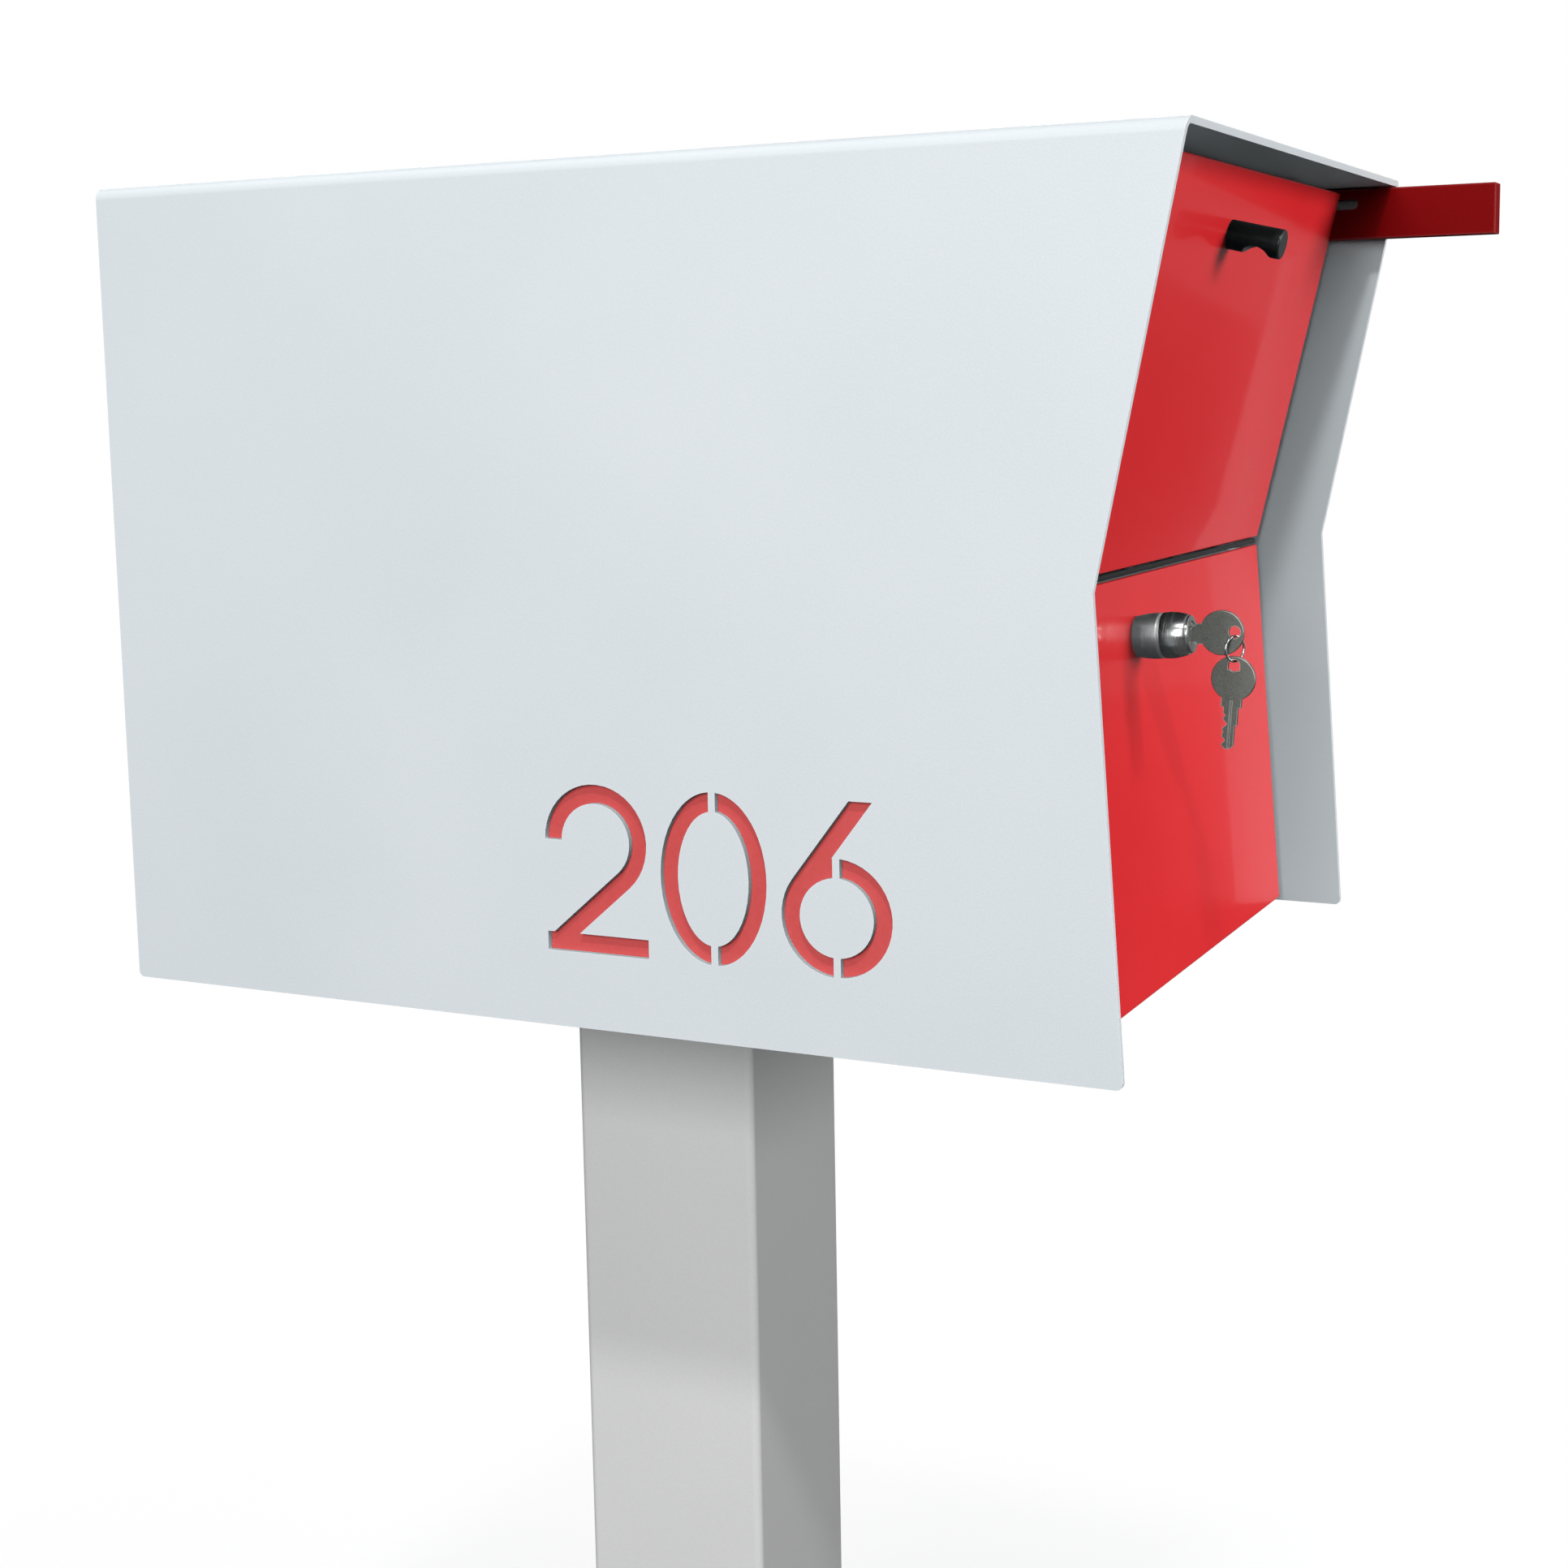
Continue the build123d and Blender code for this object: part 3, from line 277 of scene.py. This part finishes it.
def moulded(name, look):
    made, tree, principled = startMaterial(name, Specular_IOR_Level=look["specular"])
    grain = useGroup(tree, "grain", Grain=look["grain"], Cloud=mouldTrim["cloud"])
    highlightAndWear = useGroup(tree, "highlightAndWear", Radius=mouldTrim["edge"], Breakup=mouldTrim["breakup"])
    colour = mixColour(tree, grain["Tone"], look["dark"], look["light"])
    # painted highlight: every rounded edge is lightened toward a paler tint, as if light caught on it
    colour = tinted(tree, highlightAndWear["Edge"], look["edgeHighlightShare"], colour, look["edgeHighlightTint"])
    tree.links.new(colour, principled.inputs["Base Color"])
    rough = rangeNode(tree, grain["Tone"], 0.0, 1.0, *look["rough"])
    tree.links.new(rough, principled.inputs["Roughness"])
    addBump(tree, principled, grain["Height"], look["bump"], mouldTrim["bumpDeep"])
    return made


# the edge share and tint set a painted highlight along all edges; wearShare and worn set real wear
powderCoat = {
    "specular": 0.45, "coat": 0.0, "coatRough": 0.3, "grain": 900.0, "cloud": 5.0, "edge": 0.0012,
    "breakup": 140.0, "dark": (0.672, 0.722, 0.752), "light": (0.706, 0.752, 0.782),
    "fleck": (0.86, 0.88, 0.90), "sparkle": 0.22, "edgeHighlightShare": 0.35, "edgeHighlightTint": (0.82, 0.85, 0.87),
    "wearShare": 0.05,
    "worn": (0.55, 0.56, 0.57), "rough": (0.40, 0.50), "bump": 0.10, "bumpDeep": 0.0004,
}
postCoat = {
    **powderCoat, "dark": (0.700, 0.703, 0.700), "light": (0.755, 0.758, 0.755), "cloud": 3.0,
    "edgeHighlightShare": 0.55, "edgeHighlightTint": (0.80, 0.80, 0.80), "edge": 0.0022,
}
innerCoat = {**powderCoat, "dark": (0.40, 0.43, 0.44), "light": (0.46, 0.49, 0.50)}
doorGloss = {
    **powderCoat, "specular": 0.22, "coat": 0.25, "coatRough": 0.06, "grain": 420.0, "cloud": 7.0,
    "dark": (0.80, 0.022, 0.027), "light": (0.84, 0.026, 0.032), "fleck": (0.86, 0.05, 0.05),
    "sparkle": 0.06, "edgeHighlightShare": 0.45, "edgeHighlightTint": (0.90, 0.10, 0.11), "wearShare": 0.04,
    "worn": (0.40, 0.05, 0.05), "rough": (0.30, 0.36), "bump": 0.02, "bumpDeep": 0.0001,
}
backerMatt = {
    **doorGloss, "coat": 0.0, "rough": (0.45, 0.55), "dark": (0.60, 0.075, 0.075),
    "light": (0.66, 0.09, 0.09),
}
flagGloss = {
    **doorGloss, "specular": 0.04, "coat": 0.0, "rough": (0.45, 0.55), "dark": (0.19, 0.0, 0.0),
    "light": (0.22, 0.0, 0.001), "fleck": (0.4, 0.01, 0.01), "edgeHighlightTint": (0.55, 0.12, 0.13),
}
hingeBlack = {
    **powderCoat, "specular": 0.15, "rough": (0.35, 0.48), "grain": 1600.0, "dark": (0.012, 0.012, 0.012),
    "light": (0.022, 0.022, 0.022), "fleck": (0.05, 0.05, 0.05), "edge": 0.0004,
    "edgeHighlightTint": (0.10, 0.10, 0.10), "worn": (0.32, 0.31, 0.30), "wearShare": 0.5,
}
# the pale edge colour in the bare metals is a painted highlight along their edges
zincPlate = {
    "aniso": 0.0, "along": 900.0, "across": 900.0, "edge": 0.0005, "spangle": 420.0,
    "dark": (0.42, 0.42, 0.41), "light": (0.58, 0.58, 0.56), "stain": (0.50, 0.46, 0.36),
    "stainShare": 0.25, "metalEdgeHighlight": (0.75, 0.75, 0.73), "rough": (0.28, 0.42), "facet": 0.10, "bump": 0.12,
}
satinNickel = {
    **zincPlate, "aniso": 0.4, "along": 140.0, "across": 3000.0, "dark": (0.66, 0.67, 0.67),
    "light": (0.84, 0.85, 0.85), "stainShare": 0.10, "rough": (0.38, 0.52), "bump": 0.20,
}
polishedNickel = {
    **zincPlate, "aniso": 0.2, "along": 200.0, "across": 3600.0, "dark": (0.66, 0.67, 0.66),
    "light": (0.78, 0.78, 0.77), "stainShare": 0.05, "rough": (0.16, 0.28), "facet": 0.02, "bump": 0.06,
}
keyNickel = {
    **zincPlate, "along": 1200.0, "across": 1200.0, "dark": (0.13, 0.135, 0.125),
    "light": (0.22, 0.225, 0.205), "stain": (0.16, 0.15, 0.12), "stainShare": 0.45,
    "metalEdgeHighlight": (0.70, 0.69, 0.66), "rough": (0.32, 0.46), "bump": 0.25,
}
springWire = {**polishedNickel, "dark": (0.58, 0.58, 0.58), "light": (0.74, 0.74, 0.74)}
glossBlack = {
    "specular": 0.6, "grain": 700.0, "dark": (0.008, 0.010, 0.010), "light": (0.014, 0.016, 0.016),
    "edgeHighlightShare": 0.6, "edgeHighlightTint": (0.07, 0.08, 0.08), "rough": (0.20, 0.30), "bump": 0.04,
}
caseBlack = {
    **glossBlack, "specular": 0.4, "rough": (0.5, 0.62), "dark": (0.02, 0.02, 0.02),
    "light": (0.035, 0.035, 0.035),
}
blackRubber = {
    **glossBlack, "specular": 0.3, "grain": 1500.0, "rough": (0.68, 0.82), "bump": 0.25,
    "dark": (0.010, 0.010, 0.010), "light": (0.018, 0.018, 0.018),
}
naturalNylon = {
    **glossBlack, "specular": 0.4, "dark": (0.66, 0.65, 0.60), "light": (0.74, 0.73, 0.69),
    "edgeHighlightTint": (0.85, 0.84, 0.80), "rough": (0.42, 0.52),
}

finishes = {
    "shell_paint": paintedMetal("shellPaint", powderCoat),
    "post_paint": paintedMetal("postPaint", postCoat),
    "inner_paint": paintedMetal("innerPaint", innerCoat),
    "door_paint": paintedMetal("doorPaint", doorGloss),
    "flag_paint": paintedMetal("flagPaint", flagGloss),
    "hinge_black": paintedMetal("hingeBlack", hingeBlack),
    "zinc_steel": plainMetal("zincSteel", zincPlate),
    "lock_satin": plainMetal("lockSatin", satinNickel),
    "lock_polish": plainMetal("lockPolish", polishedNickel),
    "key_nickel": plainMetal("keyNickel", keyNickel),
    "ring_wire": plainMetal("ringWire", springWire),
    "knob_black": moulded("knobBlack", glossBlack),
    "magnet_case": moulded("magnetCase", caseBlack),
    "seal_rubber": moulded("sealRubber", blackRubber),
    "nylon": moulded("nylon", naturalNylon),
}
backerPaint = paintedMetal("backerPaint", backerMatt)
for node, thing in nodes.items():
    thing.data.materials.clear()
    thing.data.materials.append(finishes[slotOf[node]])
nodes["number_backer"].data.materials[0] = backerPaint
print("finishes made:", len(finishes) + 1)


# Pieces with eased edges, cut from the nodes' own shapes

def finishPiece(name, mesh, node, material):
    piece = bpy.data.objects.new(name, mesh)
    bpy.context.scene.collection.objects.link(piece)
    piece.data.materials.clear()
    piece.data.materials.append(material)
    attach(piece, bodyOf[node])
    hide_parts(node)
    return piece


def withoutBounce(piece):  # the red doors leave no tint on the lock, keys and side panels
    piece.visible_diffuse = False
    piece.visible_glossy = False


easing = {"merge": 2e-6, "flatAngle": 0.5, "cornerAngle": 35.0, "faceWeight": 100}


def easedCopy(node, width, segments):
    mesh = nodes[node].data.copy()
    mesh.name = node + "_eased"
    shape = bmesh.new()
    shape.from_mesh(mesh)
    bmesh.ops.remove_doubles(shape, verts=shape.verts, dist=easing["merge"])
    flat = radians(easing["flatAngle"])
    bmesh.ops.dissolve_limit(shape, angle_limit=flat, verts=shape.verts, edges=shape.edges)
    for face in shape.faces:
        face.smooth = True
    shape.to_mesh(mesh)
    shape.free()
    piece = finishPiece(node + "_eased", mesh, node, nodes[node].data.materials[0])
    bevel = piece.modifiers.new("easedEdges", "BEVEL")
    bevel.width = width
    bevel.segments = segments
    bevel.limit_method = "ANGLE"
    bevel.angle_limit = radians(easing["cornerAngle"])
    flatten = piece.modifiers.new("flatFaces", "WEIGHTED_NORMAL")
    flatten.weight = easing["faceWeight"]
    return piece


sheetEdge = {"width": 0.0004, "segments": 2}
easedSheets = (
    "outer_shell", "floor_pan", "back_panel", "waist_rail", "mail_shelf", "drop_baffle", "door_frame",
    "upper_door_panel", "lower_door_panel", "number_backer",
)
easedPlates = ("base_plate", "head_plate", "post_tube")
for node in easedSheets + easedPlates:
    piece = easedCopy(node, sheetEdge["width"], sheetEdge["segments"])
    if slotOf[node] == "door_paint":
        withoutBounce(piece)
smallEdges = {
    "catch_magnets": 0.0002, "catch_strikes": 0.0002, "cam_latch": 0.0002, "flag_bar": 0.0004,
    "pull_knob": 0.0004, "key_in_lock": 0.00015, "spare_key": 0.00015, "door_seal": 0.0012,
    "lock_collar": 0.00025, "lock_barrel": 0.00015,
}
smallSegments = 3
for node, width in smallEdges.items():
    easedCopy(node, width, smallSegments)
print("eased pieces:", len(easedSheets) + len(easedPlates) + len(smallEdges))


# Weld beads that join the post to its plates

weld = {
    "leg": 0.005, "postHalf": 0.0508, "postCorner": 0.004, "footSeat": 0.010, "headSeat": 0.895,
    "segments": 5, "rimShare": 0.98, "near": 1e-6, "flatNormal": 0.999,
    "ripple": 190.0, "wander": 1.5, "spatter": 600.0, "spatterRange": (0.3, 0.7), "spatterHeight": 0.4,
    "bump": 0.7, "bumpDeep": 0.0006,
}


def weldPaint():
    made, tree, principled = startMaterial("weldPaint", Specular_IOR_Level=postCoat["specular"])
    coords = objectCoords(tree)
    ripple = addNode(tree, "ShaderNodeTexWave", Scale=weld["ripple"], Distortion=weld["wander"], Detail=2.0)
    ripple.bands_direction = "DIAGONAL"
    tree.links.new(coords, ripple.inputs["Vector"])
    spatter = noiseNode(tree, coords, weld["spatter"], 3.0)
    tone = mathNode(tree, "MULTIPLY", ripple.outputs["Fac"], spatter)
    colour = mixColour(tree, tone, postCoat["dark"], postCoat["light"])
    tree.links.new(colour, principled.inputs["Base Color"])
    rough = rangeNode(tree, spatter, *weld["spatterRange"], *postCoat["rough"])
    tree.links.new(rough, principled.inputs["Roughness"])
    drops = mathNode(tree, "MULTIPLY", spatter, weld["spatterHeight"])
    height = mathNode(tree, "ADD", ripple.outputs["Fac"], drops)
    addBump(tree, principled, height, weld["bump"], weld["bumpDeep"])
    return made


def weldBead(name, seat, rises, paint):
    leg = weld["leg"]
    wide = 2 * (weld["postHalf"] + leg)
    far = seat + rises * leg  # the bead's thin end, up the post from its seat
    shape = bmesh.new()
    bmesh.ops.create_cube(shape, size=1.0)
    bmesh.ops.scale(shape, vec=(wide, wide, leg), verts=shape.verts)
    bmesh.ops.translate(shape, vec=(0, 0, (seat + far) / 2), verts=shape.verts)
    upright = [edge for edge in shape.edges if abs(edge.verts[0].co.z - edge.verts[1].co.z) > leg / 2]
    bmesh.ops.bevel(shape, geom=upright, offset=weld["postCorner"] + leg, offset_type="OFFSET",
                    affect="EDGES", segments=weld["segments"], profile=0.5, material=-1)
    rim = [edge for edge in shape.edges if all(abs(vert.co.z - far) < weld["near"] for vert in edge.verts)]
    bmesh.ops.bevel(shape, geom=rim, offset=leg * weld["rimShare"], offset_type="OFFSET",
                    affect="EDGES", segments=weld["segments"], profile=0.5, material=-1)
    bmesh.ops.recalc_face_normals(shape, faces=shape.faces)
    for face in shape.faces:
        face.smooth = abs(face.normal.z) < weld["flatNormal"]
    mesh = bpy.data.meshes.new(name)
    shape.to_mesh(mesh)
    shape.free()
    bead = bpy.data.objects.new(name, mesh)
    bpy.context.scene.collection.objects.link(bead)
    bead.data.materials.append(paint)
    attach(bead, bodyOf["post_tube"])


beadPaint = weldPaint()
weldBead("foot_weld", weld["footSeat"], 1, beadPaint)
weldBead("head_weld", weld["headSeat"], -1, beadPaint)
print("welds made: 2")


# Studio

studio = {
    "floorHalf": 12.0, "floorCells": 8, "floorColour": (0.86, 0.86, 0.86), "floorRough": 0.8,
    "floorSpecular": 0.2,
    "floorBounce": (0.05, 0.05, 0.05),  # what the floor throws back at the object
    "whiteFrom": 0.55, "whiteTo": 1.5,  # the floor fades to plain white between these radii
    "sky": (0.96, 0.98, 1.0, 1.0), "ambient": 0.08,
    "mirrored": 0.22,  # the sky's strength in reflections
}
softboxes = {
    "keyHigh": {"place": (-2.8, -1.45, 5.05), "size": 0.30, "power": 84.0},
    "leftWide": {"place": (-4.1, -0.45, 2.35), "size": 2.0, "power": 142.0},
    "frontHigh": {"place": (1.15, -4.1, 2.0), "size": 1.8, "power": 62.0},
    "doorWash": {"place": (1.15, -4.1, 2.0), "size": 1.8, "power": 97.0,
                 "skips": ("post_tube", "head_plate")},
    "topStrip": {"place": (-0.6, 1.9, 4.2), "size": 1.6, "power": 22.0},
    "backRight": {"place": (3.0, 3.2, 2.4), "size": 2.8, "power": 80.0},
    "rightFill": {"place": (4.2, 0.6, 2.5), "size": 2.0, "power": 70.0},
}
aim = Vector((0.0, -0.05, 1.05))


def addSoftbox(name, box):
    light = bpy.data.lights.new(name, "AREA")
    light.energy = box["power"]
    light.size = box["size"]
    lamp = bpy.data.objects.new(name, light)
    bpy.context.scene.collection.objects.link(lamp)
    lamp.location = box["place"]
    lamp.rotation_euler = (aim - lamp.location).to_track_quat("-Z", "Y").to_euler()
    if "skips" in box:
        shaded = bpy.data.collections.new(name + "Skips")
        for node in box["skips"]:
            shaded.objects.link(bpy.data.objects[node + "_eased"])
        for entry in shaded.collection_objects:
            entry.light_linking.link_state = "EXCLUDE"
        lamp.light_linking.receiver_collection = shaded


def whiteForCamera(tree, surface, factor=1.0):
    path = tree.nodes.new("ShaderNodeLightPath")
    white = addNode(tree, "ShaderNodeEmission", Color=(1, 1, 1, 1), Strength=1.0)
    mix = tree.nodes.new("ShaderNodeMixShader")
    setInput(tree, mix.inputs[0], mathNode(tree, "MULTIPLY", path.outputs["Is Camera Ray"], factor))
    tree.links.new(surface, mix.inputs[1])
    tree.links.new(white.outputs[0], mix.inputs[2])
    return mix.outputs[0]


def buildFloor():
    cells = studio["floorCells"]
    shape = bmesh.new()
    bmesh.ops.create_grid(shape, x_segments=cells, y_segments=cells, size=studio["floorHalf"])
    mesh = bpy.data.meshes.new("studioFloor")
    shape.to_mesh(mesh)
    shape.free()
    floor = bpy.data.objects.new("studioFloor", mesh)
    bpy.context.scene.collection.objects.link(floor)
    made, tree, principled = startMaterial("studioFloor", Roughness=studio["floorRough"],
                                           Specular_IOR_Level=studio["floorSpecular"])
    seen = tree.nodes.new("ShaderNodeLightPath").outputs["Is Camera Ray"]
    colour = mixColour(tree, seen, studio["floorBounce"], studio["floorColour"])
    tree.links.new(colour, principled.inputs["Base Color"])
    reach = tree.nodes.new("ShaderNodeVectorMath")
    reach.operation = "LENGTH"
    tree.links.new(objectCoords(tree), reach.inputs[0])
    far = rangeNode(tree, reach.outputs["Value"], studio["whiteFrom"], studio["whiteTo"])
    surface = whiteForCamera(tree, principled.outputs[0], far)
    tree.links.new(surface, tree.nodes["Material Output"].inputs["Surface"])
    floor.data.materials.append(made)


def buildSky():
    world = bpy.data.worlds.new("studioWorld")
    world.use_nodes = True
    tree = world.node_tree
    sky = tree.nodes["Background"]
    sky.inputs["Color"].default_value = studio["sky"]
    glossy = tree.nodes.new("ShaderNodeLightPath").outputs["Is Glossy Ray"]
    strength = rangeNode(tree, glossy, 0.0, 1.0, studio["ambient"], studio["mirrored"])
    tree.links.new(strength, sky.inputs["Strength"])
    surface = whiteForCamera(tree, sky.outputs[0])
    tree.links.new(surface, tree.nodes["World Output"].inputs["Surface"])
    bpy.context.scene.world = world


buildFloor()
buildSky()
for name, box in softboxes.items():
    addSoftbox(name, box)
bpy.context.scene.view_settings.view_transform = "Standard"
print("studio built:", len(softboxes), "softboxes")


# Camera, as the eye of someone at the kerb, left of the doors

cameraSet = {
    "place": (-1.0906, -0.5860, 1.1789), "azimuth": -63.75, "down": 8.00, "roll": -1.05,
    "lens": 54.86, "sensor": 36.0, "rise": -0.04, "clip": (0.05, 60.0),
}


def buildCamera():
    turn, down, roll = (radians(cameraSet[key]) for key in ("azimuth", "down", "roll"))
    back = Vector((sin(turn) * cos(down), -cos(turn) * cos(down), sin(down)))
    level = Vector((0, 0, 1)).cross(back).normalized()
    rise = back.cross(level)
    right = level * cos(roll) + rise * sin(roll)
    up = rise * cos(roll) - level * sin(roll)
    lens = bpy.data.cameras.new("kerbCamera")
    lens.lens = cameraSet["lens"]
    lens.sensor_width = cameraSet["sensor"]
    lens.shift_y = cameraSet["rise"]
    lens.clip_start, lens.clip_end = cameraSet["clip"]
    camera = bpy.data.objects.new("kerbCamera", lens)
    bpy.context.scene.collection.objects.link(camera)
    facing = Matrix((right, up, back)).transposed().to_4x4()
    camera.matrix_world = Matrix.Translation(cameraSet["place"]) @ facing
    bpy.context.scene.camera = camera


buildCamera()
print("camera set")
